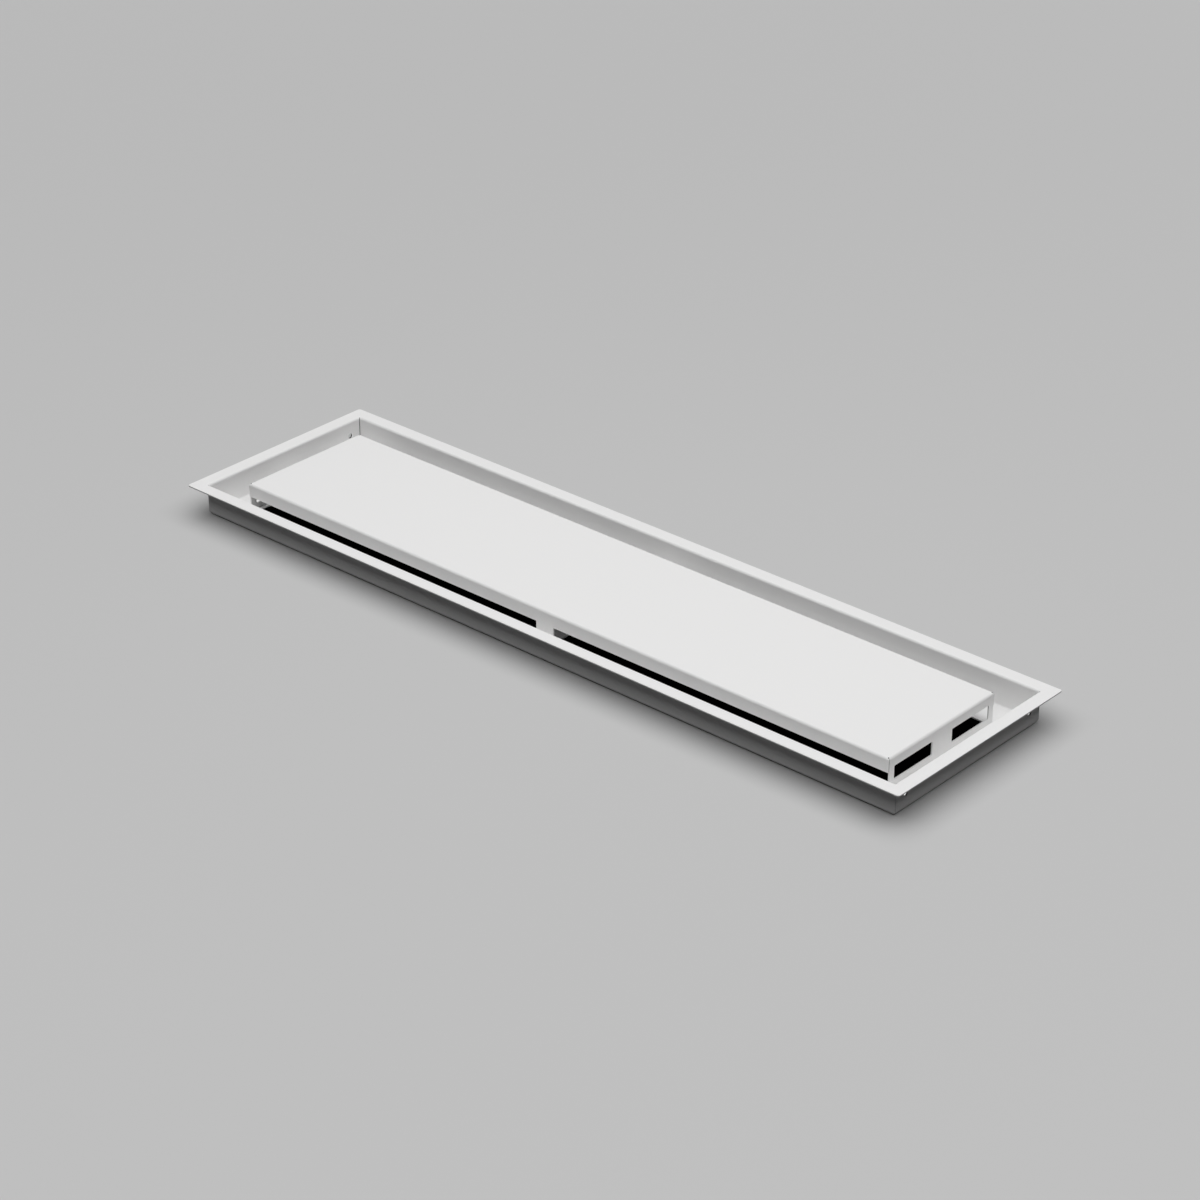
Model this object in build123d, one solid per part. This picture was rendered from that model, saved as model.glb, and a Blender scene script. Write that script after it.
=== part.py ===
from build123d import *
import os

# A ceiling vent cover in folded sheet steel, lying with its face up.
# All sizes are in millimetres. X runs along the long sides, Y across, and Z up towards the face.
# The origin is the centre of the tray's underside.

# Sheet and bends, the same on both pieces
sheet = 1.0
bend_radius = 2.0
inner_bend_radius = bend_radius - sheet
cut_corner_radius = 0.8

# Frame tray: a flange round the face, four walls and a ledge round the duct openings
overall_length = 663.0
overall_width = 180.0
tray_height = 23.6
flange_width = 11.3
flange_corner_radius = 2.0
ledge_reach = 36.5
opening_corner_radius = 1.5
tie_width = 15.0
tray_seam_width = 0.3
tray_seam_depth = 0.6
butt_seam_width = 0.2
butt_seam_depth = 0.4
wall_corner_radius = 0.8

# Screw holes, two in each end wall
screw_hole_diameter = 4.0
screw_hole_spacing = 136.0
screw_hole_drop = 12.0

# Cover panel: flush with the flange, with a short drop along the long sides and full-height ends
cover_inset = 32.0
drop_height = 10.5
leg_width = 16.0
top_band = 12.0
corner_gap = 0.15
corner_lap = 0.5
relief_diameter = 1.0
relief_inset = 1.4

# Windows, two in each end of the cover
window_drop = 7.5
window_height = 10.5
bridge_width = 21.5
post_width = 6.25

# Longer than any cut has to reach
clearance = 5.0

# Worked out from the driving dimensions
opening_half_length = overall_length / 2 - ledge_reach
opening_half_width = overall_width / 2 - ledge_reach
wall_half_length = overall_length / 2 - flange_width + sheet
wall_half_width = overall_width / 2 - flange_width + sheet
cover_length = overall_length - 2 * cover_inset
cover_width = overall_width - 2 * cover_inset
cover_half_length = cover_length / 2
cover_half_width = cover_width / 2
drop_edge_height = tray_height - drop_height
window_length = cover_half_width - post_width - bridge_width / 2
window_middle = bridge_width / 2 + window_length / 2
window_centre_height = tray_height - window_drop - window_height / 2


def folded_strip(points):
    """Section of a sheet folded along the given middle line, with the same radius at each fold."""
    middle_line = FilletPolyline(*points, radius=bend_radius - sheet / 2)
    return trace(middle_line, line_width=sheet)


def side(section, run, offset):
    """The section run along the -Y side, mitred at 45 degrees where it meets its neighbours.

    The section's first axis points inwards from the side, and its second axis points up.
    """
    start = Plane(origin=(-run / 2, -offset, 0), x_dir=(0, 1, 0), z_dir=(1, 0, 0))
    rail = extrude(start * section, amount=run)
    reach = section.bounding_box().max.X + clearance
    plan = make_face(
        Polyline(
            (-run / 2 - clearance, -offset - clearance),
            (run / 2 + clearance, -offset - clearance),
            (run / 2 - reach, -offset + reach),
            (-run / 2 + reach, -offset + reach),
            close=True,
        )
    )
    mitres = Pos(0, 0, -clearance) * extrude(plan, amount=tray_height + 2 * clearance)
    return rail & mitres


def ring(long_section, short_section, length, width):
    """Four mitred sides joined into one rectangular ring."""
    long_side = side(long_section, length, width / 2)
    short_side = side(short_section, width, length / 2)
    return (
        long_side
        + Rot(0, 0, 180) * long_side
        + Rot(0, 0, 90) * short_side
        + Rot(0, 0, 270) * short_side
    )


def corners(half_length, half_width):
    """The four corner points of a rectangle round the origin."""
    return [(x, y) for x in (-half_length, half_length) for y in (-half_width, half_width)]


def upright_edges(shape, places):
    """The upright edges of a shape that stand at the given places in plan."""
    tolerance = 0.01
    found = []
    for edge in shape.edges().filter_by(Axis.Z):
        middle = edge.center()
        for x, y in places:
            if abs(middle.X - x) < tolerance and abs(middle.Y - y) < tolerance:
                found.append(edge)
    return found


def tray_section():
    """Flange, wall and ledge, folded from one strip."""
    wall_middle = flange_width - sheet / 2
    return folded_strip(
        [
            (0, tray_height - sheet / 2),
            (wall_middle, tray_height - sheet / 2),
            (wall_middle, sheet / 2),
            (ledge_reach, sheet / 2),
        ]
    )


def tray_seams():
    """Grooves up the inner corners, where the ends of two walls meet and run out over the bends."""
    channel_face = FilletPolyline(
        (flange_width - bend_radius - tray_seam_width, tray_height),
        (flange_width, tray_height),
        (flange_width, sheet + inner_bend_radius),
        radius=bend_radius,
    )
    skin = trace(channel_face, line_width=2 * tray_seam_depth)
    all_round = ring(skin, skin, overall_length, overall_width)
    slits = Part()
    for x, y in corners(overall_length / 2, overall_width / 2):
        turn = 45 if x * y > 0 else -45
        slit = Box(4 * flange_width, tray_seam_width, 2 * tray_height)
        slits += Pos(x, y, tray_height) * Rot(0, 0, turn) * slit
    return all_round & slits


def butt_seams():
    """Grooves down the outside of the end walls, where their ends butt against the long walls."""
    seams = Part()
    seam_height = tray_height - 2 * bend_radius
    for x, y in corners(wall_half_length, wall_half_width - sheet):
        seam = Box(2 * butt_seam_depth, butt_seam_width, seam_height)
        seams += Pos(x, y, tray_height / 2) * seam
    return seams


def screw_holes():
    """Round holes through both end walls, near the long sides."""
    holes = Part()
    for x, y in corners(wall_half_length - sheet / 2, screw_hole_spacing / 2):
        hole = Cylinder(screw_hole_diameter / 2, 4 * sheet, rotation=(0, 90, 0))
        holes += Pos(x, y, tray_height - screw_hole_drop) * hole
    return holes


def frame_tray():
    """The tray: one blank with the flange folded out, the ledge folded in and a tie across the middle."""
    tray = ring(tray_section(), tray_section(), overall_length, overall_width)
    tie = Box(tie_width, 2 * opening_half_width, sheet, align=(Align.CENTER, Align.CENTER, Align.MIN))
    tray += tie
    tray = fillet(
        upright_edges(tray, corners(overall_length / 2, overall_width / 2)),
        flange_corner_radius,
    )
    tray = fillet(upright_edges(tray, corners(wall_half_length, wall_half_width)), wall_corner_radius)
    opening_corners = corners(opening_half_length, opening_half_width)
    opening_corners += corners(tie_width / 2, opening_half_width)
    tray = fillet(upright_edges(tray, opening_corners), opening_corner_radius)
    return tray - tray_seams() - butt_seams() - screw_holes()


def cover_section(foot_height):
    """A band of the top and one side folded down to the given height."""
    return folded_strip(
        [
            (top_band, tray_height - sheet / 2),
            (sheet / 2, tray_height - sheet / 2),
            (sheet / 2, foot_height),
        ]
    )


def centre_legs():
    """Legs in the middle of the long sides, from the drop's edge to the ledge."""
    legs = Part()
    leg_height = drop_edge_height - sheet
    for y in (-cover_half_width + sheet / 2, cover_half_width - sheet / 2):
        leg = Box(leg_width, sheet, leg_height, align=(Align.CENTER, Align.CENTER, Align.MIN))
        legs += Pos(0, y, sheet) * leg
    return legs


def leg_roots(cover):
    """The edges where the legs leave the drop."""
    tolerance = 0.01
    found = []
    for edge in cover.edges().filter_by(Axis.Y):
        middle = edge.center()
        at_leg = abs(abs(middle.X) - leg_width / 2) < tolerance
        if at_leg and abs(middle.Z - drop_edge_height) < tolerance:
            found.append(edge)
    return found


def end_windows():
    """Two windows in each end, either side of its bridge."""
    windows = Part()
    outline = RectangleRounded(window_length, window_height, cut_corner_radius)
    for x, y in corners(cover_half_length - sheet / 2, window_middle):
        plane = Plane(origin=(x, y, window_centre_height), x_dir=(0, 1, 0), z_dir=(1, 0, 0))
        windows += extrude(plane * outline, amount=2 * sheet, both=True)
    return windows


def corner_cuts():
    """Lapped corners: the drop's end laps half over the end's cut edge, with a gap and a round relief."""
    cuts = Part()
    end_stop = sheet + corner_gap
    drop_stop = sheet - corner_lap
    for x, y in corners(cover_half_length, cover_half_width):
        inwards_x = -1 if x > 0 else 1
        inwards_y = -1 if y > 0 else 1
        notch = Box(2 * drop_stop, 2 * end_stop, 2 * (tray_height + clearance))
        below_drop = Box(2 * end_stop, 2 * end_stop, 2 * drop_edge_height)
        cuts += Pos(x, y, 0) * (notch + below_drop)
        gap = Box(2 * relief_inset, corner_gap, 2 * (tray_height + clearance))
        cuts += Pos(x, y + inwards_y * (sheet + corner_gap / 2), 0) * gap
        relief = Cylinder(relief_diameter / 2, bend_radius * 2)
        cuts += Pos(x + inwards_x * relief_inset, y + inwards_y * relief_inset, tray_height) * relief
    return cuts


def cover_panel():
    """The raised cover: one blank with all four sides folded down, standing on the tray's ledge."""
    cover = ring(cover_section(drop_edge_height), cover_section(sheet), cover_length, cover_width)
    top = Box(
        cover_length - 2 * top_band,
        cover_width - 2 * top_band,
        sheet,
        align=(Align.CENTER, Align.CENTER, Align.MAX),
    )
    cover += Pos(0, 0, tray_height) * top
    cover += centre_legs()
    cover = fillet(leg_roots(cover), cut_corner_radius)
    return cover - end_windows() - corner_cuts()


os.makedirs("parts", exist_ok=True)
export_step(frame_tray(), "parts/frame_tray.step")
export_step(cover_panel(), "parts/cover_panel.step")
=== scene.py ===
"""A white ceiling vent cover in folded sheet steel, on a pale floor under a soft overhead light."""

import logging
import math
from dataclasses import dataclass
from enum import Enum

import bmesh
import bpy
from mathutils import Matrix, Vector
from mathutils.geometry import tessellate_polygon


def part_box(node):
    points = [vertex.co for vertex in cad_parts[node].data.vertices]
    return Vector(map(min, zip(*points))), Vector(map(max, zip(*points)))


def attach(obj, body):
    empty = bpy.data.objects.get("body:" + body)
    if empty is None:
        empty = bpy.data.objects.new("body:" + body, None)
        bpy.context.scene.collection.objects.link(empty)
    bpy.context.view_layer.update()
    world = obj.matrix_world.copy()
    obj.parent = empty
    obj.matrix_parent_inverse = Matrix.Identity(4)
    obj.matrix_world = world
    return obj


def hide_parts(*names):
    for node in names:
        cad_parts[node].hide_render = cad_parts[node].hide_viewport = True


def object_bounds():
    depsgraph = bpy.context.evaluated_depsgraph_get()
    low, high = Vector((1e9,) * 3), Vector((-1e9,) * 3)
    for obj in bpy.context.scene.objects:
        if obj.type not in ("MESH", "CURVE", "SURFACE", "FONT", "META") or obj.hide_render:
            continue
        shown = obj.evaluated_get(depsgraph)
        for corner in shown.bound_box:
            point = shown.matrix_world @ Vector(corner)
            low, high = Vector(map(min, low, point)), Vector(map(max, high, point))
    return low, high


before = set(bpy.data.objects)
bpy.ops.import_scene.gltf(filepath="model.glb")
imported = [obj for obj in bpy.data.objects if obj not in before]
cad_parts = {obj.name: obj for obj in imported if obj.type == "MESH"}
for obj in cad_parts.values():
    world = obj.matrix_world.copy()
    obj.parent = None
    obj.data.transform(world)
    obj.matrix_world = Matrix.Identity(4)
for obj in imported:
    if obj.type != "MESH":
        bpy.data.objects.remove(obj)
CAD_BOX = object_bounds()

log = logging.getLogger("vent_cover")

MM = 0.001

# How far the cutters reach past what they cut
CLEAR = 5 * MM

# The signs of X and Y at the four corners
CORNERS = ((1, 1), (1, -1), (-1, 1), (-1, -1))

# Most of a noise's values lie between these two
NOISE_LOW, NOISE_HIGH = 0.3, 0.7

Outline = list[tuple[float, float]]
Ring = list[bmesh.types.BMVert]
Colour = tuple[float, float, float, float]


def opaque(red: float, green: float, blue: float) -> Colour:
    """An opaque colour."""
    return (red, green, blue, 1.0)


def even_grey(level: float) -> Colour:
    """An opaque grey of the given linear level."""
    return opaque(level, level, level)


class Piece(Enum):
    """The two folded pieces, by node name, with the slot name that each piece's materials are named after."""

    TRAY = ("frame_tray", "tray_coat", "tray_sheet")
    COVER = ("cover_panel", "cover_coat", "cover_sheet")

    @property
    def node(self) -> str:
        """Name of the node in the frame."""
        return self.value[0]

    @property
    def slot(self) -> str:
        """Name of the material slot in the record."""
        return self.value[1]

    @property
    def sheet_name(self) -> str:
        """Name of the dressed piece."""
        return self.value[2]


@dataclass(frozen=True)
class PowderCoat:
    """A fine white powder coat: a soft satin skin with a faint orange peel and specks in its tone.

    Args:
        name: Name of the material.
        tone: Linear grey of the coat.
        warmth: How much less blue than red the coat has, as a share.
        roughness: Mean roughness of the skin.
        roughness_spread: How far the roughness wanders either side.
        peel_size: Width of one orange-peel dimple, in metres.
        peel_depth: Depth of a dimple, in metres.
        grain_size: Width of one grain of the powder, in metres.
        grain_depth: Depth of a grain, in metres.
        speck_contrast: How far the tone wanders either side, as a share.
        ior: Index of refraction of the skin.
    """

    name: str
    tone: float = 0.86
    warmth: float = 0.006
    roughness: float = 0.52
    roughness_spread: float = 0.05
    peel_size: float = 2.2 * MM
    peel_depth: float = 0.010 * MM
    grain_size: float = 0.55 * MM
    grain_depth: float = 0.004 * MM
    speck_contrast: float = 0.012
    ior: float = 1.48

    def material(self) -> bpy.types.Material:
        """Makes the material with its node tree.

        Returns:
            The new material.
        """
        material, graph, shader = fresh_material(self.name)
        place = graph.place()
        peel = graph.noise(place, self.peel_size, detail=2.0)
        grain = graph.noise(place, self.grain_size, detail=3.0)
        low = self.tone * (1 - self.speck_contrast)
        high = self.tone * (1 + self.speck_contrast)
        tint = graph.ramp(grain, self._grey(low), self._grey(high))
        graph.link(tint, shader.inputs["Base Color"])
        rough = graph.spread(peel, self.roughness, self.roughness_spread)
        graph.link(rough, shader.inputs["Roughness"])
        coarse = graph.bump(peel, self.peel_depth)
        fine = graph.bump(grain, self.grain_depth, coarse)
        graph.link(fine, shader.inputs["Normal"])
        shader.inputs["IOR"].default_value = self.ior
        return material

    def _grey(self, level: float) -> Colour:
        """A slightly warm grey of the given linear level."""
        return opaque(level, level * (1 - self.warmth / 2), level * (1 - self.warmth))


@dataclass(frozen=True)
class ThinCoat(PowderCoat):
    """The same coat where it runs thin over a cut edge: a little darker, rougher and flatter."""

    tone: float = 0.84
    roughness: float = 0.58
    peel_depth: float = 0.004 * MM


class Graph:
    """A short way to add nodes and links to a material's node tree."""

    def __init__(self, tree: bpy.types.NodeTree) -> None:
        """Clears the tree and keeps it.

        Args:
            tree: The material's node tree.
        """
        self.tree = tree
        tree.nodes.clear()

    def node(self, kind: str) -> bpy.types.Node:
        """Adds a node of the given kind."""
        return self.tree.nodes.new(kind)

    def link(self, source: bpy.types.NodeSocket, target: bpy.types.NodeSocket) -> None:
        """Links an output to an input."""
        self.tree.links.new(source, target)

    def shader(self) -> bpy.types.Node:
        """Adds a principled shader and the material's output, linked.

        Returns:
            The shader node.
        """
        shader = self.node("ShaderNodeBsdfPrincipled")
        output = self.node("ShaderNodeOutputMaterial")
        self.link(shader.outputs["BSDF"], output.inputs["Surface"])
        return shader

    def place(self) -> bpy.types.NodeSocket:
        """Adds the object's own coordinates, in metres."""
        return self.node("ShaderNodeTexCoord").outputs["Object"]

    def seen(self) -> bpy.types.NodeSocket:
        """Adds a switch that is 1 for what the camera, a reflection or a clear solid shows, and 0 elsewhere.

        Returns:
            The switch's value.
        """
        path = self.node("ShaderNodeLightPath")
        value = path.outputs["Is Camera Ray"]
        for ray in ("Is Glossy Ray", "Is Transmission Ray"):
            either = self.node("ShaderNodeMath")
            either.operation = "MAXIMUM"
            self.link(value, either.inputs[0])
            self.link(path.outputs[ray], either.inputs[1])
            value = either.outputs["Value"]
        return value

    def noise(self, place: bpy.types.NodeSocket, size: float, detail: float) -> bpy.types.NodeSocket:
        """Adds a noise texture.

        Args:
            place: Coordinates to read.
            size: Width of one cell, in metres.
            detail: Octaves of finer noise.

        Returns:
            The noise value.
        """
        noise = self.node("ShaderNodeTexNoise")
        noise.inputs["Scale"].default_value = 1 / size
        noise.inputs["Detail"].default_value = detail
        self.link(place, noise.inputs["Vector"])
        return noise.outputs["Fac"]

    def ramp(self, value: bpy.types.NodeSocket, low: Colour, high: Colour) -> bpy.types.NodeSocket:
        """Adds a ramp between two colours over the middle of a noise's range.

        Args:
            value: The noise.
            low: Colour at the low end.
            high: Colour at the high end.

        Returns:
            The colour.
        """
        ramp = self.node("ShaderNodeValToRGB")
        first, last = ramp.color_ramp.elements
        first.position, first.color = NOISE_LOW, low
        last.position, last.color = NOISE_HIGH, high
        self.link(value, ramp.inputs["Fac"])
        return ramp.outputs["Color"]

    def spread(self, value: bpy.types.NodeSocket, middle: float, half: float) -> bpy.types.NodeSocket:
        """Maps a noise to a narrow range round a middle value.

        Args:
            value: The noise.
            middle: Middle of the range.
            half: Half the width of the range.

        Returns:
            The mapped value.
        """
        mapped = self.node("ShaderNodeMapRange")
        mapped.inputs["From Min"].default_value = NOISE_LOW
        mapped.inputs["From Max"].default_value = NOISE_HIGH
        mapped.inputs["To Min"].default_value = middle - half
        mapped.inputs["To Max"].default_value = middle + half
        self.link(value, mapped.inputs["Value"])
        return mapped.outputs["Result"]

    def bump(self, height: bpy.types.NodeSocket, depth: float,
             under: bpy.types.NodeSocket | None = None) -> bpy.types.NodeSocket:
        """Adds a bump of the given depth.

        Args:
            height: Height from 0 to 1.
            depth: Depth of the relief, in metres.
            under: Normal of a coarser bump below this one.

        Returns:
            The new normal.
        """
        bump = self.node("ShaderNodeBump")
        bump.inputs["Distance"].default_value = depth
        self.link(height, bump.inputs["Height"])
        if under is not None:
            self.link(under, bump.inputs["Normal"])
        return bump.outputs["Normal"]


def fresh_material(name: str) -> tuple[bpy.types.Material, Graph, bpy.types.Node]:
    """Makes a material that holds only a principled shader and its output.

    Args:
        name: Name of the material.

    Returns:
        The material, its graph and its shader.
    """
    material = bpy.data.materials.new(name)
    material.use_nodes = True
    graph = Graph(material.node_tree)
    return material, graph, graph.shader()


@dataclass(frozen=True)
class PaintedJointShade:
    """Painted shade: a near-black finish for the dark inside a joint between two folds or a hole, where
    little light gets in.

    Args:
        name: Name of the material.
        tone: Linear grey of the joint.
        grain_size: Width of one grain, in metres.
        spread: How far the tone wanders either side, as a share.
        roughness: Roughness of the painted shade.
        shine: How strongly it shines.
    """

    name: str
    tone: float = 0.03
    grain_size: float = 0.4 * MM
    spread: float = 0.3
    roughness: float = 0.9
    shine: float = 0.1

    def material(self) -> bpy.types.Material:
        """Makes the material with its node tree.

        Returns:
            The new material.
        """
        material, graph, shader = fresh_material(self.name)
        grain = graph.noise(graph.place(), self.grain_size, detail=2.0)
        low = even_grey(self.tone * (1 - self.spread))
        high = even_grey(self.tone * (1 + self.spread))
        graph.link(graph.ramp(grain, low, high), shader.inputs["Base Color"])
        shader.inputs["Roughness"].default_value = self.roughness
        shader.inputs["Specular IOR Level"].default_value = self.shine
        return material


@dataclass(frozen=True)
class Sheet:
    """The sheet that both pieces are folded from.

    Args:
        thickness: Thickness of the sheet, in metres.
        bend: Outer radius of each bend, in metres.
        edge: Radius of a deburred cut edge, in metres.
        tight: Radius of a fold's inner corner in plan, in metres.
        bend_steps: Facets in a quarter turn of a bend.
        edge_steps: Facets in a quarter turn of a cut edge.
        corner_steps: Facets in a quarter turn of a corner in plan.
    """

    thickness: float = 1.0 * MM
    bend: float = 2.0 * MM
    edge: float = 0.12 * MM
    tight: float = 0.1 * MM
    bend_steps: int = 10
    edge_steps: int = 3
    corner_steps: int = 5

    @property
    def inner_bend(self) -> float:
        """Inner radius of each bend."""
        return self.bend - self.thickness


class Surface(Enum):
    """What a face of a folded piece is, by the index of its material."""

    SKIN = 0
    CUT_EDGE = 1
    # Faces with a near-black finish: painted shade inside joints, holes, gaps and reliefs
    JOINT = 2


class Section:
    """Half a section through a folded ring, as points of inset from the outline and height."""

    def __init__(self) -> None:
        """Starts with no points."""
        self.points: list[tuple[float, float, Surface]] = []

    def to(self, inset: float, height: float, surface: Surface = Surface.SKIN) -> None:
        """Adds a point, with what the face that leads to it is."""
        self.points.append((inset, height, surface))

    def turn(self, inset: float, height: float, radius: float, start: float, end: float, steps: int,
             surface: Surface = Surface.SKIN, lead: Surface = Surface.SKIN) -> None:
        """Adds an arc.

        Args:
            inset: Inset of the arc's centre.
            height: Height of the arc's centre.
            radius: Radius of the arc.
            start: First angle, in degrees from the inward direction.
            end: Last angle, in degrees.
            steps: Facets in the arc.
            surface: What the arc's faces are.
            lead: What the face that leads to the arc is.
        """
        for step in range(steps + 1):
            angle = math.radians(start + (end - start) * step / steps)
            kind = surface if step else lead
            self.to(inset + radius * math.cos(angle), height + radius * math.sin(angle), kind)


class MeshShop:
    """Makes the closed meshes that the folded pieces are cut from and with."""

    # Bends shade smooth, and edges that turn by more degrees than this stay sharp
    SHARP_ANGLE = 50.0

    # Blender's highest weight for the flat faces when a bend is shaded
    FLAT_WEIGHT = 100

    def __init__(self, sheet: Sheet) -> None:
        """Keeps the sheet that sets the facets.

        Args:
            sheet: The sheet of both pieces.
        """
        self.sheet = sheet

    def outline(self, half_x: float, half_y: float, radius: float, middle_x: float = 0.0,
                middle_y: float = 0.0) -> Outline:
        """A rectangle with rounded corners, anticlockwise.

        Args:
            half_x: Half its length.
            half_y: Half its width.
            radius: Radius of its corners.
            middle_x: First coordinate of its centre.
            middle_y: Second coordinate of its centre.

        Returns:
            The points of the outline.
        """
        points = []
        steps = self.sheet.corner_steps
        for quarter, (way_x, way_y) in enumerate(((1, 1), (-1, 1), (-1, -1), (1, -1))):
            centre_x = middle_x + way_x * (half_x - radius)
            centre_y = middle_y + way_y * (half_y - radius)
            for step in range(steps + 1):
                angle = math.radians(90 * (quarter + step / steps))
                points.append((centre_x + radius * math.cos(angle), centre_y + radius * math.sin(angle)))
        return points

    def circle(self, radius: float, steps: int) -> Outline:
        """A circle round the origin, anticlockwise.

        Args:
            radius: Its radius.
            steps: Its facets.

        Returns:
            The points of the circle.
        """
        angles = [math.radians(360 * step / steps) for step in range(steps)]
        return [(radius * math.cos(angle), radius * math.sin(angle)) for angle in angles]

    def ring(self, mesh: bmesh.types.BMesh, outline: Outline, height: float) -> Ring:
        """Adds an outline's points to a mesh at one height."""
        return [mesh.verts.new((x, y, height)) for x, y in outline]

    def band(self, mesh: bmesh.types.BMesh, first: Ring, second: Ring, surface: Surface) -> None:
        """Joins two rings with a band of quads.

        Args:
            mesh: The mesh that holds both rings.
            first: One ring.
            second: The next ring, with as many points.
            surface: What the band is.
        """
        for here in range(len(first)):
            after = (here + 1) % len(first)
            face = mesh.faces.new((first[here], first[after], second[after], second[here]))
            face.material_index = surface.value

    def plate(self, mesh: bmesh.types.BMesh, outer: Ring, inner: list[Ring]) -> None:
        """Fills a flat plate between an outer ring and the rings of its openings.

        Args:
            mesh: The mesh that holds the rings.
            outer: The ring round the plate.
            inner: The rings of its openings.
        """
        rings = [outer, *inner]
        corners = [corner for ring in rings for corner in ring]
        triangles = tessellate_polygon([[corner.co for corner in ring] for ring in rings])
        for triangle in triangles:
            mesh.faces.new([corners[index] for index in triangle])

    def prism(self, outline: Outline, depth: float, turn: Matrix, surface: Surface) -> bmesh.types.BMesh:
        """A closed prism, made along +Z through the origin and then moved.

        Args:
            outline: Its outline in plan.
            depth: Its whole depth, half of it either side of the origin.
            turn: Where it goes.
            surface: What the faces that it cuts are.

        Returns:
            The prism's mesh.
        """
        mesh = bmesh.new()
        low = self.ring(mesh, outline, -depth / 2)
        high = self.ring(mesh, outline, depth / 2)
        self.band(mesh, low, high, surface)
        for cap in (low, high):
            mesh.faces.new(cap).material_index = surface.value
        mesh.transform(turn)
        bmesh.ops.recalc_face_normals(mesh, faces=mesh.faces)
        return mesh

    def box(self, low: tuple[float, float, float], high: tuple[float, float, float],
            surface: Surface) -> bmesh.types.BMesh:
        """A box between two corners.

        Args:
            low: The corner with the lowest X, Y and Z.
            high: The corner with the highest ones.
            surface: What the faces that it cuts are.

        Returns:
            The box's mesh.
        """
        outline = [(low[0], low[1]), (high[0], low[1]), (high[0], high[1]), (low[0], high[1])]
        middle = Matrix.Translation((0, 0, (low[2] + high[2]) / 2))
        return self.prism(outline, high[2] - low[2], middle, surface)

    def together(self, name: str, parts: list[bmesh.types.BMesh]) -> bpy.types.Mesh:
        """Puts meshes that don't touch each other into one.

        Args:
            name: Name of the new mesh.
            parts: The meshes, which are used up.

        Returns:
            The new mesh.
        """
        joined = bmesh.new()
        for part in parts:
            piece = bpy.data.meshes.new(name)
            part.to_mesh(piece)
            joined.from_mesh(piece)
            bpy.data.meshes.remove(piece)
            part.free()
        mesh = bpy.data.meshes.new(name)
        joined.to_mesh(mesh)
        joined.free()
        return mesh

    def cut(self, body: bpy.types.Object, cutters: list[bpy.types.Mesh]) -> None:
        """Cuts a body with closed meshes, one after the other.

        Args:
            body: The object to cut, which takes the result as its mesh.
            cutters: The meshes to cut it with, which are used up.
        """
        helpers = []
        for number, cutter in enumerate(cutters):
            for material in body.data.materials:
                cutter.materials.append(material)
            helper = bpy.data.objects.new(f"{body.name}_cutter_{number}", cutter)
            bpy.context.scene.collection.objects.link(helper)
            helpers.append(helper)
            step = body.modifiers.new(f"cut_{number}", "BOOLEAN")
            step.operation = "DIFFERENCE"
            step.solver = "EXACT"
            step.material_mode = "TRANSFER"
            step.object = helper
        depsgraph = bpy.context.evaluated_depsgraph_get()
        result = bpy.data.meshes.new_from_object(body.evaluated_get(depsgraph))
        whole = body.data
        body.modifiers.clear()
        body.data = result
        for helper in helpers:
            bpy.data.objects.remove(helper)
        for spare in (whole, *cutters):
            bpy.data.meshes.remove(spare)

    def smooth(self, body: bpy.types.Object) -> None:
        """Shades the bends smooth and keeps the flats flat.

        Args:
            body: The object to shade.
        """
        body.data.shade_smooth()
        body.data.set_sharp_from_angle(angle=math.radians(self.SHARP_ANGLE))
        weighted = body.modifiers.new("flat_faces_lead", "WEIGHTED_NORMAL")
        weighted.keep_sharp = True
        weighted.weight = self.FLAT_WEIGHT


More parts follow.
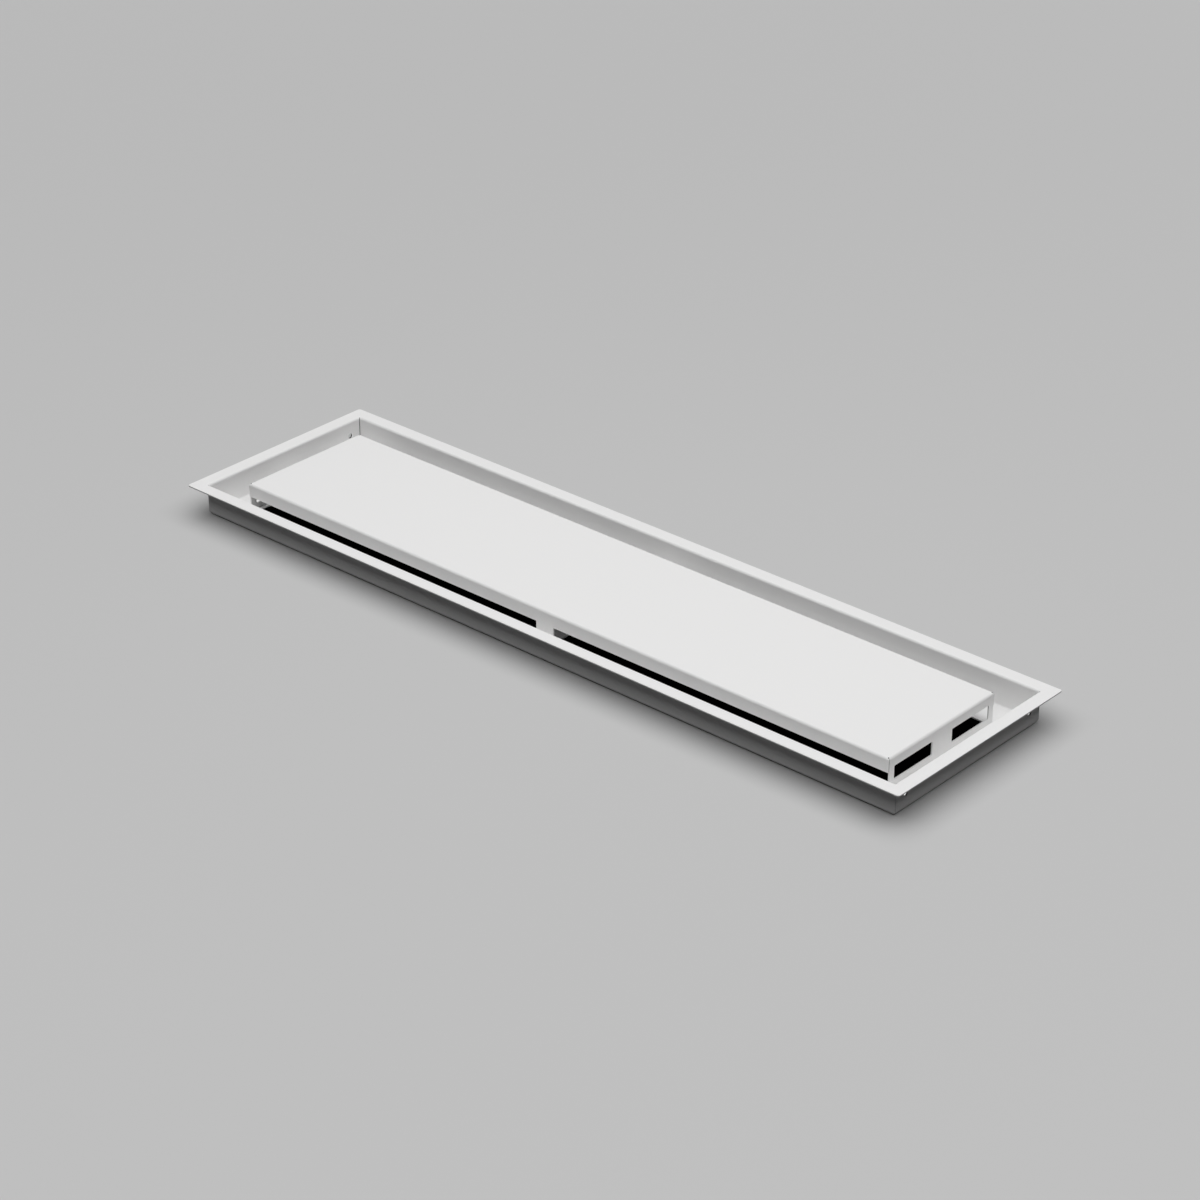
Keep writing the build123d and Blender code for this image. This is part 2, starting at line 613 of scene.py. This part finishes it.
@dataclass
class FoldedPiece:
    """One folded piece of the vent cover.

    Args:
        piece: Which of the two pieces it is.
        coat: Its finish.
        edge_coat: The finish of its cut edges.
        joint: The near-black painted shade inside its joints and holes.
        sheet: The sheet that it is folded from.
    """

    piece: Piece
    coat: PowderCoat
    edge_coat: PowderCoat
    joint: PaintedJointShade
    sheet: Sheet

    def build(self) -> None:
        """Makes the piece in place of its node and dresses it."""
        shop = MeshShop(self.sheet)
        mesh = bmesh.new()
        self._fold(shop, mesh)
        bmesh.ops.recalc_face_normals(mesh, faces=mesh.faces)
        data = bpy.data.meshes.new(self.piece.sheet_name)
        mesh.to_mesh(data)
        mesh.free()
        body = bpy.data.objects.new(self.piece.sheet_name, data)
        for finish in (self.coat, self.edge_coat, self.joint):
            data.materials.append(finish.material())
        bpy.context.scene.collection.objects.link(body)
        shop.cut(body, self._cutters(shop))
        shop.smooth(body)
        body.data.name = self.piece.sheet_name
        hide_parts(self.piece.node)
        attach(body, "root")
        log.info("%s: %d faces, coated with %s", body.name, len(body.data.polygons), self.coat.name)

    def _loft(self, shop: MeshShop, mesh: bmesh.types.BMesh, section: Section, half_x: float,
              half_y: float) -> tuple[Ring, Ring]:
        """Runs a section round the piece.

        Args:
            shop: Where the rings and bands are made.
            mesh: The mesh to add to.
            section: The section.
            half_x: Half the length of its outline.
            half_y: Half the width of its outline.

        Returns:
            The first and the last ring.
        """
        rings = []
        past_edge = False
        for inset, height, surface in section.points:
            past_edge = past_edge or surface is Surface.CUT_EDGE
            radius = self._corner(inset, past_edge)
            outline = shop.outline(half_x - inset, half_y - inset, radius)
            rings.append(shop.ring(mesh, outline, height))
            if len(rings) > 1:
                shop.band(mesh, rings[-2], rings[-1], surface)
        return rings[0], rings[-1]

    def _corner(self, inset: float, past_edge: bool) -> float:
        """Corner radius in plan at an inset, on the face or, past the cut edge, on the back."""
        return self.sheet.tight

    def _fold(self, shop: MeshShop, mesh: bmesh.types.BMesh) -> None:
        """Adds the folded sheet, uncut, to a mesh."""
        raise NotImplementedError

    def _cutters(self, shop: MeshShop) -> list[bpy.types.Mesh]:
        """The meshes that cut the folded sheet."""
        raise NotImplementedError

    @property
    def through(self) -> float:
        """Depth of a prism that goes right through a wall, either side of its outer face."""
        return 4 * self.sheet.thickness


@dataclass
class Tray(FoldedPiece):
    """The frame tray: flange, four walls and a ledge round two duct openings with a tie between them.

    Args:
        half_length: Half the flange's length.
        half_width: Half the flange's width.
        height: Height of the face above the underside.
        flange: Width of the flange, to the walls' inner face.
        flange_corner: Corner radius of the flange.
        wall_corner: Corner radius of the walls' outside.
        ledge: Inset of the duct openings' long edges from the outline.
        plate: Inset from which the ledge is one flat plate.
        tie: Width of the tie.
        opening_corner: Corner radius of the duct openings.
        hole_radius: Radius of a screw hole.
        hole_steps: Facets round a screw hole.
        hole_spacing: Spacing of an end's two holes.
        hole_drop: Depth of the holes below the face.
        seam: Width of the joints up the inner corners.
        seam_depth: Depth of those joints.
        seam_start: How far round the flange's bend those joints start, in degrees.
        butt: Width of the joints down the outside of the end walls.
        butt_depth: Depth of those joints.
    """

    half_length: float = 331.5 * MM
    half_width: float = 90.0 * MM
    height: float = 23.6 * MM
    flange: float = 11.3 * MM
    flange_corner: float = 2.0 * MM
    wall_corner: float = 0.8 * MM
    ledge: float = 36.5 * MM
    plate: float = 14.0 * MM
    tie: float = 15.0 * MM
    opening_corner: float = 1.5 * MM
    hole_radius: float = 2.0 * MM
    hole_steps: int = 36
    hole_spacing: float = 136.0 * MM
    hole_drop: float = 12.0 * MM
    seam: float = 0.42 * MM
    seam_depth: float = 0.6 * MM
    seam_start: float = 42.0
    butt: float = 0.2 * MM
    butt_depth: float = 0.4 * MM

    def _corner(self, inset: float, past_edge: bool) -> float:
        """Corner radius in plan at an inset, on the face or, past the cut edge, on the back.

        Args:
            inset: Inset from the outline.
            past_edge: Whether the section has passed the flange's cut edge.

        Returns:
            The radius.
        """
        if past_edge and inset > self.flange_corner:
            outer_wall = self.flange - self.sheet.thickness
            return max(self.wall_corner + outer_wall - inset, self.sheet.tight)
        return max(self.flange_corner - inset, self.sheet.tight)

    def _fold(self, shop: MeshShop, mesh: bmesh.types.BMesh) -> None:
        """Adds the folded sheet, uncut, to a mesh.

        Args:
            shop: Where the rings and bands are made.
            mesh: The mesh to add to.
        """
        sheet = self.sheet
        thick, outer, inner, edge = sheet.thickness, sheet.bend, sheet.inner_bend, sheet.edge
        top = self.height
        over = self.flange - outer
        foot = self.flange + inner
        section = Section()
        # Up the face: ledge, wall, flange
        section.to(self.plate, thick)
        section.turn(foot, outer, inner, 270, 180, sheet.bend_steps)
        section.turn(over, top - outer, outer, 0, 90, sheet.bend_steps)
        section.turn(edge, top - edge, edge, 90, 180, sheet.edge_steps, Surface.CUT_EDGE)
        section.turn(edge, top - thick + edge, edge, 180, 270, sheet.edge_steps, Surface.CUT_EDGE,
                     lead=Surface.CUT_EDGE)
        # And down the back
        section.turn(over, top - outer, inner, 90, 0, sheet.bend_steps)
        section.turn(foot, outer, outer, 180, 270, sheet.bend_steps)
        section.to(self.plate, 0)
        face, back = self._loft(shop, mesh, section, self.half_length, self.half_width)
        rims = [self._opening(shop, mesh, way) for way in (-1, 1)]
        shop.plate(mesh, face, [rim[0] for rim in rims])
        shop.plate(mesh, back, [rim[1] for rim in rims])

    def _opening(self, shop: MeshShop, mesh: bmesh.types.BMesh, way: int) -> tuple[Ring, Ring]:
        """Adds the cut rim of one duct opening.

        Args:
            shop: Where the rings and bands are made.
            mesh: The mesh to add to.
            way: -1 for the left opening, 1 for the right one.

        Returns:
            The rim's upper and lower rings.
        """
        sheet = self.sheet
        start = self.tie / 2
        end = self.half_length - self.ledge
        half_x = (end - start) / 2
        half_y = self.half_width - self.ledge
        middle = way * (start + half_x)
        angles = [math.radians(90 * step / sheet.edge_steps) for step in range(sheet.edge_steps + 1)]
        steps = [(sheet.edge * (1 - math.sin(angle)), sheet.edge * (1 - math.cos(angle))) for angle in angles]
        levels = [(wider, sheet.thickness - lower) for wider, lower in steps]
        levels += [(wider, lower) for wider, lower in reversed(steps)]
        rings = []
        for wider, level in levels:
            outline = shop.outline(half_x + wider, half_y + wider, self.opening_corner + wider, middle)
            rings.append(shop.ring(mesh, outline, level))
            if len(rings) > 1:
                shop.band(mesh, rings[-2], rings[-1], Surface.CUT_EDGE)
        return rings[0], rings[-1]

    def _cutters(self, shop: MeshShop) -> list[bpy.types.Mesh]:
        """The screw holes, the joints up the inner corners and the joints down the outside.

        Args:
            shop: Where the meshes are made.

        Returns:
            The meshes to cut with, in order.
        """
        holes, seams, butts = [], [], []
        wall_x = self.half_length - self.flange + self.sheet.thickness
        wall_y = self.half_width - self.flange
        low = self.sheet.bend
        high = self.height - self.sheet.bend
        circle = shop.circle(self.hole_radius, self.hole_steps)
        for x, y in CORNERS:
            place = Vector((x * wall_x, y * self.hole_spacing / 2, self.height - self.hole_drop))
            across = Matrix.Translation(place) @ Matrix.Rotation(math.radians(90), 4, "Y")
            # The hole's wall takes the near-black painted shade, for the dark seen through it
            holes.append(shop.prism(circle, self.through, across, Surface.JOINT))
            seams.append(self._seam(shop, x, y))
            # The joint down the outside takes the near-black painted shade
            butts.append(shop.box(
                (x * wall_x - self.butt_depth, y * wall_y - self.butt / 2, low),
                (x * wall_x + self.butt_depth, y * wall_y + self.butt / 2, high),
                Surface.JOINT,
            ))
        return [shop.together(name, parts) for name, parts in
                (("holes", holes), ("seams", seams), ("butts", butts))]

    def _seam(self, shop: MeshShop, way_x: int, way_y: int) -> bmesh.types.BMesh:
        """The joint up one inner corner, which runs out over the flange's bend.

        Args:
            shop: Where the prism is made.
            way_x: Sign of the corner's X.
            way_y: Sign of the corner's Y.

        Returns:
            The prism that cuts it.
        """
        sheet = self.sheet
        over = self.flange - sheet.bend
        drop = self.height - sheet.bend
        inside, outside = [], []
        sides = ((outside, sheet.bend + self.seam_depth), (inside, sheet.bend - self.seam_depth))
        for step in range(sheet.bend_steps + 1):
            angle = math.radians(self.seam_start + (90 - self.seam_start) * step / sheet.bend_steps)
            for side, radius in sides:
                side.append((over + radius * math.sin(angle), drop + radius * math.cos(angle)))
        foot = sheet.thickness + sheet.inner_bend
        outside.append((self.flange + self.seam_depth, foot))
        inside.append((self.flange - self.seam_depth, foot))
        profile = [(math.sqrt(2) * inset, height) for inset, height in outside + inside[::-1]]
        middle = Matrix.Translation((way_x * self.half_length, way_y * self.half_width, 0))
        inwards = Vector((-way_x, -way_y, 0)).normalized()
        up = Vector((0, 0, 1))
        turn = Matrix((inwards, up, inwards.cross(up))).transposed().to_4x4()
        # The joint's faces take the near-black painted shade
        return shop.prism(profile, self.seam, middle @ turn, Surface.JOINT)


@dataclass
class Cover(FoldedPiece):
    """The cover panel: flush with the flange, with a short drop, two legs and two windows in each end.

    Args:
        half_length: Half the cover's length.
        half_width: Half the cover's width.
        height: Height of the face above the tray's underside.
        foot: Height of the ledge that the ends stand on.
        drop: Depth of the drop along the long sides.
        leg: Width of a leg.
        root: Radius where a leg leaves the drop, and of the windows' corners.
        window_drop: Depth of the windows below the face.
        window_height: Height of a window.
        bridge: Width of the bridge between an end's windows.
        post: Width left outside a window.
        gap: Gap between the drop and the end's cut edge.
        lap: How far the drop's end laps over the end's cut edge.
        relief: Radius of a corner relief.
        relief_steps: Facets round a corner relief.
        relief_inset: Distance of a relief's centre from both outlines.
    """

    half_length: float = 299.5 * MM
    half_width: float = 58.0 * MM
    height: float = 23.6 * MM
    foot: float = 1.0 * MM
    drop: float = 10.5 * MM
    leg: float = 16.0 * MM
    root: float = 0.8 * MM
    window_drop: float = 7.5 * MM
    window_height: float = 10.5 * MM
    bridge: float = 21.5 * MM
    post: float = 6.25 * MM
    gap: float = 0.15 * MM
    lap: float = 0.5 * MM
    relief: float = 0.5 * MM
    relief_steps: int = 18
    relief_inset: float = 1.4 * MM

    def _fold(self, shop: MeshShop, mesh: bmesh.types.BMesh) -> None:
        """Adds the folded sheet, uncut, to a mesh.

        Args:
            shop: Where the rings and bands are made.
            mesh: The mesh to add to.
        """
        sheet = self.sheet
        thick, outer, inner, edge = sheet.thickness, sheet.bend, sheet.inner_bend, sheet.edge
        section = Section()
        # Down the outside and up the inside, all four sides to full height
        section.turn(outer, self.height - outer, outer, 90, 180, sheet.bend_steps)
        section.turn(edge, self.foot + edge, edge, 180, 270, sheet.edge_steps, Surface.CUT_EDGE)
        section.turn(thick - edge, self.foot + edge, edge, -90, 0, sheet.edge_steps, Surface.CUT_EDGE,
                     lead=Surface.CUT_EDGE)
        section.turn(outer, self.height - outer, inner, 180, 90, sheet.bend_steps)
        face, back = self._loft(shop, mesh, section, self.half_length, self.half_width)
        mesh.faces.new(face)
        mesh.faces.new(back)

    @property
    def stop(self) -> float:
        """Distance along Y from the middle to the cut edges of the end walls."""
        return self.half_width - self.sheet.thickness - self.gap

    def _cutters(self, shop: MeshShop) -> list[bpy.types.Mesh]:
        """What is open under the drop, the windows, and the corner notches, gaps and reliefs.

        Args:
            shop: Where the meshes are made.

        Returns:
            The meshes to cut with, in order.
        """
        thick = self.sheet.thickness
        sideways = Matrix.Rotation(math.radians(90), 4, "Y") @ Matrix.Rotation(math.radians(90), 4, "Z")
        half_window = (self.half_width - self.post - self.bridge / 2) / 2
        window_middle = self.bridge / 2 + half_window
        window_level = self.height - self.window_drop - self.window_height / 2
        window = shop.outline(half_window, self.window_height / 2, self.root)
        circle = shop.circle(self.relief, self.relief_steps)
        relief_x = self.half_length - self.relief_inset
        relief_y = self.half_width - self.relief_inset
        sides, windows, notches, gaps, reliefs = [], [], [], [], []
        for x, y in CORNERS:
            sides.append(self._side_opening(shop, x, y))
            place = Matrix.Translation((x * self.half_length, y * window_middle, window_level))
            windows.append(shop.prism(window, self.through, place @ sideways, Surface.CUT_EDGE))
            notches.append(self._corner_box(shop, x, y, self.half_length - thick + self.lap))
            # The corner gaps and reliefs take the near-black painted shade
            gaps.append(self._corner_box(shop, x, y, relief_x, self.half_width - thick, Surface.JOINT))
            place = Matrix.Translation((x * relief_x, y * relief_y, self.height))
            reliefs.append(shop.prism(circle, 2 * self.sheet.bend, place, Surface.JOINT))
        return [shop.together(name, parts) for name, parts in
                (("sides", sides), ("windows", windows), ("notches", notches), ("gaps", gaps),
                 ("reliefs", reliefs))]

    def _side_opening(self, shop: MeshShop, way_x: int, way_y: int) -> bmesh.types.BMesh:
        """What is open under one half of a drop, rounded where the leg leaves it.

        Args:
            shop: Where the prism is made.
            way_x: Sign of the half's X.
            way_y: Sign of the side's Y.

        Returns:
            The prism that cuts it.
        """
        start = self.leg / 2
        end = self.half_length + CLEAR
        low = -CLEAR
        half_x = (end - start) / 2
        half_z = (self.height - self.drop - low) / 2
        outline = shop.outline(half_x, half_z, self.root, way_x * (start + half_x), low + half_z)
        depth = self.half_width + CLEAR - self.stop
        place = Matrix.Translation((0, way_y * (self.stop + depth / 2), 0))
        upright = Matrix.Rotation(math.radians(90), 4, "X")
        return shop.prism(outline, depth, place @ upright, Surface.CUT_EDGE)

    def _corner_box(self, shop: MeshShop, way_x: int, way_y: int, start_x: float, end_y: float | None = None,
                    surface: Surface = Surface.CUT_EDGE) -> bmesh.types.BMesh:
        """A box at one corner, outwards from the end's cut edge, through the whole height.

        Args:
            shop: Where the box is made.
            way_x: Sign of the corner's X.
            way_y: Sign of the corner's Y.
            start_x: Distance from the middle along X at which the box starts.
            end_y: Distance from the middle along Y at which it ends, past the outline if left out.
            surface: What the faces that it cuts are.

        Returns:
            The box that cuts it.
        """
        xs = sorted((way_x * start_x, way_x * (self.half_length + CLEAR)))
        ys = sorted((way_y * self.stop, way_y * (end_y or self.half_width + CLEAR)))
        return shop.box((xs[0], ys[0], -CLEAR), (xs[1], ys[1], self.height + CLEAR), surface)


@dataclass
class StudioFloor:
    """A plain pale floor under the part, with a matt black card under the openings: painted shade for the
    dark that a duct's mouth would show.

    Args:
        half_size: Half the side of the floor, in metres.
        drop: How far the floor lies below the part, in metres.
        shown_tone: Linear grey that the floor shows.
        bounced_tone: Linear grey that the floor throws back on the part.
        lit_reach: Distance from the part at which the softbox's light starts to fall off, in metres.
        dark_reach: Distance at which next to none of that light is left, in metres.
        shade_card_inset: How far the card stays inside the part's outline, in metres.
        shade_card_tone: Linear grey of the card.
        roughness: Roughness of the floor.
        shine: How strongly the floor shines.
    """

    half_size: float = 30.0
    drop: float = 0.5 * MM
    shown_tone: float = 0.58
    bounced_tone: float = 0.02
    lit_reach: float = 0.3
    dark_reach: float = 4.6
    shade_card_inset: float = 16 * MM
    shade_card_tone: float = 0.002
    roughness: float = 0.9
    shine: float = 0.2

    def build(self) -> None:
        """Makes the floor and the card."""
        floor = self._plane("floor", self.half_size, self.half_size, -self.drop)
        floor.data.materials.append(self._floor_paint())
        low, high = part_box(Piece.TRAY.node)
        half_x = (high.x - low.x) / 2 - self.shade_card_inset
        half_y = (high.y - low.y) / 2 - self.shade_card_inset
        # The black card is painted shade, seen through the openings as a duct's dark mouth
        card = self._plane("card", half_x, half_y, -self.drop / 2)
        card.data.materials.append(self._shade_card_paint())
        log.info("stage: floor and card")

    def _plane(self, name: str, half_x: float, half_y: float, height: float) -> bpy.types.Object:
        """Makes a flat rectangle round the origin.

        Args:
            name: Name of the object.
            half_x: Half its length.
            half_y: Half its width.
            height: Its height.

        Returns:
            The object.
        """
        mesh = bpy.data.meshes.new(name)
        corners = [(-half_x, -half_y), (half_x, -half_y), (half_x, half_y), (-half_x, half_y)]
        mesh.from_pydata([(x, y, height) for x, y in corners], [], [(0, 1, 2, 3)])
        plane = bpy.data.objects.new(name, mesh)
        bpy.context.scene.collection.objects.link(plane)
        return plane

    def _floor_paint(self) -> bpy.types.Material:
        """Pale and even to the camera and in reflections, and darker in the light that it throws back.

        The softbox's light falls off with distance, so there the floor glows to the camera instead.

        Returns:
            The new material.
        """
        material, graph, shader = fresh_material("floor_paint")
        shader.inputs["Roughness"].default_value = self.roughness
        shader.inputs["Specular IOR Level"].default_value = self.shine
        seen = graph.seen()
        mix = graph.node("ShaderNodeMix")
        mix.data_type = "RGBA"
        mix.inputs["A"].default_value = even_grey(self.bounced_tone)
        mix.inputs["B"].default_value = even_grey(self.shown_tone)
        graph.link(seen, mix.inputs["Factor"])
        graph.link(mix.outputs["Result"], shader.inputs["Base Color"])
        reach = graph.node("ShaderNodeVectorMath")
        reach.operation = "LENGTH"
        graph.link(graph.place(), reach.inputs[0])
        rise = graph.node("ShaderNodeMapRange")
        rise.interpolation_type = "SMOOTHSTEP"
        rise.inputs["From Min"].default_value = self.lit_reach
        rise.inputs["From Max"].default_value = self.dark_reach
        graph.link(reach.outputs["Value"], rise.inputs["Value"])
        glow = graph.node("ShaderNodeMath")
        glow.operation = "MULTIPLY"
        graph.link(rise.outputs["Result"], glow.inputs[0])
        graph.link(seen, glow.inputs[1])
        shader.inputs["Emission Color"].default_value = even_grey(self.shown_tone)
        graph.link(glow.outputs["Value"], shader.inputs["Emission Strength"])
        return material

    def _shade_card_paint(self) -> bpy.types.Material:
        """Matt black: painted shade for the dark seen through the openings.

        Returns:
            The new material.
        """
        material, _, shader = fresh_material("painted_shade_card")
        shader.inputs["Base Color"].default_value = even_grey(self.shade_card_tone)
        shader.inputs["Roughness"].default_value = 1.0
        shader.inputs["Specular IOR Level"].default_value = 0.0
        return material


@dataclass
class StudioLight:
    """A wide softbox overhead and a faint even light from the room, whose walls look as pale as the floor.

    Args:
        height: Height of the softbox, in metres.
        side: Side of the square softbox, in metres.
        power: Power of the softbox, in watts.
        place: Where the softbox hangs in plan, in metres.
        room_tone: Strength of the room's light.
        wall_tone: Linear grey that the room's walls show.
    """

    height: float = 2.2
    side: float = 3.8
    power: float = 79.0
    place: tuple[float, float] = (0.2, -0.09)
    room_tone: float = 0.055
    wall_tone: float = 0.58

    def build(self) -> None:
        """Makes the softbox and the room."""
        lamp = bpy.data.lights.new("softbox", "AREA")
        lamp.shape = "SQUARE"
        lamp.size = self.side
        lamp.energy = self.power
        softbox = bpy.data.objects.new("softbox", lamp)
        softbox.location = (*self.place, self.height)
        bpy.context.scene.collection.objects.link(softbox)
        world = bpy.data.worlds.new("room")
        world.use_nodes = True
        graph = Graph(world.node_tree)
        background = graph.node("ShaderNodeBackground")
        output = graph.node("ShaderNodeOutputWorld")
        graph.link(background.outputs["Background"], output.inputs["Surface"])
        mix = graph.node("ShaderNodeMix")
        mix.inputs["A"].default_value = self.room_tone
        mix.inputs["B"].default_value = self.wall_tone
        graph.link(graph.seen(), mix.inputs["Factor"])
        graph.link(mix.outputs["Result"], background.inputs["Strength"])
        background.inputs["Color"].default_value = even_grey(1.0)
        bpy.context.scene.world = world
        log.info("stage: softbox and room")


@dataclass
class StudioCamera:
    """The camera at the photograph's viewing angle.

    Args:
        azimuth: Degrees round the part, 0 looking along +Y.
        elevation: Degrees above the horizon.
        roll: Degrees that the camera leans.
        lens: Focal length, in millimetres.
        sensor: Width of the sensor, in millimetres.
        distance: Distance from the face's centre, in metres.
        rise: How far the camera is moved up its own frame, in metres.
        aside: How far the camera is moved right in its own frame, in metres.
        nearest: Distance at which the picture starts, in metres.
        farthest: Distance at which it ends, in metres.
    """

    azimuth: float = 41.618
    elevation: float = 28.286
    roll: float = 0.069
    lens: float = 100.11
    sensor: float = 36.0
    distance: float = 2.35287
    rise: float = -0.01285
    aside: float = -0.00009
    nearest: float = 0.05
    farthest: float = 100.0

    def build(self) -> None:
        """Makes the camera and sets it as the scene's."""
        round_angle = math.radians(self.azimuth)
        up_angle = math.radians(self.elevation)
        lean = math.radians(self.roll)
        back = Vector((
            math.sin(round_angle) * math.cos(up_angle),
            -math.cos(round_angle) * math.cos(up_angle),
            math.sin(up_angle),
        ))
        level_right = Vector((0, 0, 1)).cross(back).normalized()
        level_up = back.cross(level_right)
        right = level_right * math.cos(lean) + level_up * math.sin(lean)
        up = level_up * math.cos(lean) - level_right * math.sin(lean)
        face_centre = Vector((0, 0, CAD_BOX[1].z))
        place = face_centre + back * self.distance + right * self.aside + up * self.rise
        data = bpy.data.cameras.new("camera")
        data.lens = self.lens
        data.sensor_width = self.sensor
        data.clip_start = self.nearest
        data.clip_end = self.farthest
        camera = bpy.data.objects.new("camera", data)
        turn = Matrix((right, up, back)).transposed().to_4x4()
        camera.matrix_world = Matrix.Translation(place) @ turn
        bpy.context.scene.collection.objects.link(camera)
        bpy.context.scene.camera = camera
        log.info("camera: %.1f mm lens at %.3f m", self.lens, self.distance)


def main() -> None:
    """Builds the camera, the two pieces and the studio, in that order."""
    logging.basicConfig(level=logging.INFO, format="%(name)s: %(message)s")
    bpy.context.scene.view_settings.view_transform = "Standard"
    StudioCamera().build()
    sheet = Sheet()
    for kind, piece in ((Tray, Piece.TRAY), (Cover, Piece.COVER)):
        coat = PowderCoat(f"{piece.slot}_powder")
        edge_coat = ThinCoat(f"{piece.slot}_thin_edge")
        # The third finish is painted shade: near black in the joints and holes
        kind(piece, coat, edge_coat, PaintedJointShade(f"{piece.slot}_joint"), sheet).build()
    StudioFloor().build()
    StudioLight().build()


if __name__ == "__main__":
    main()
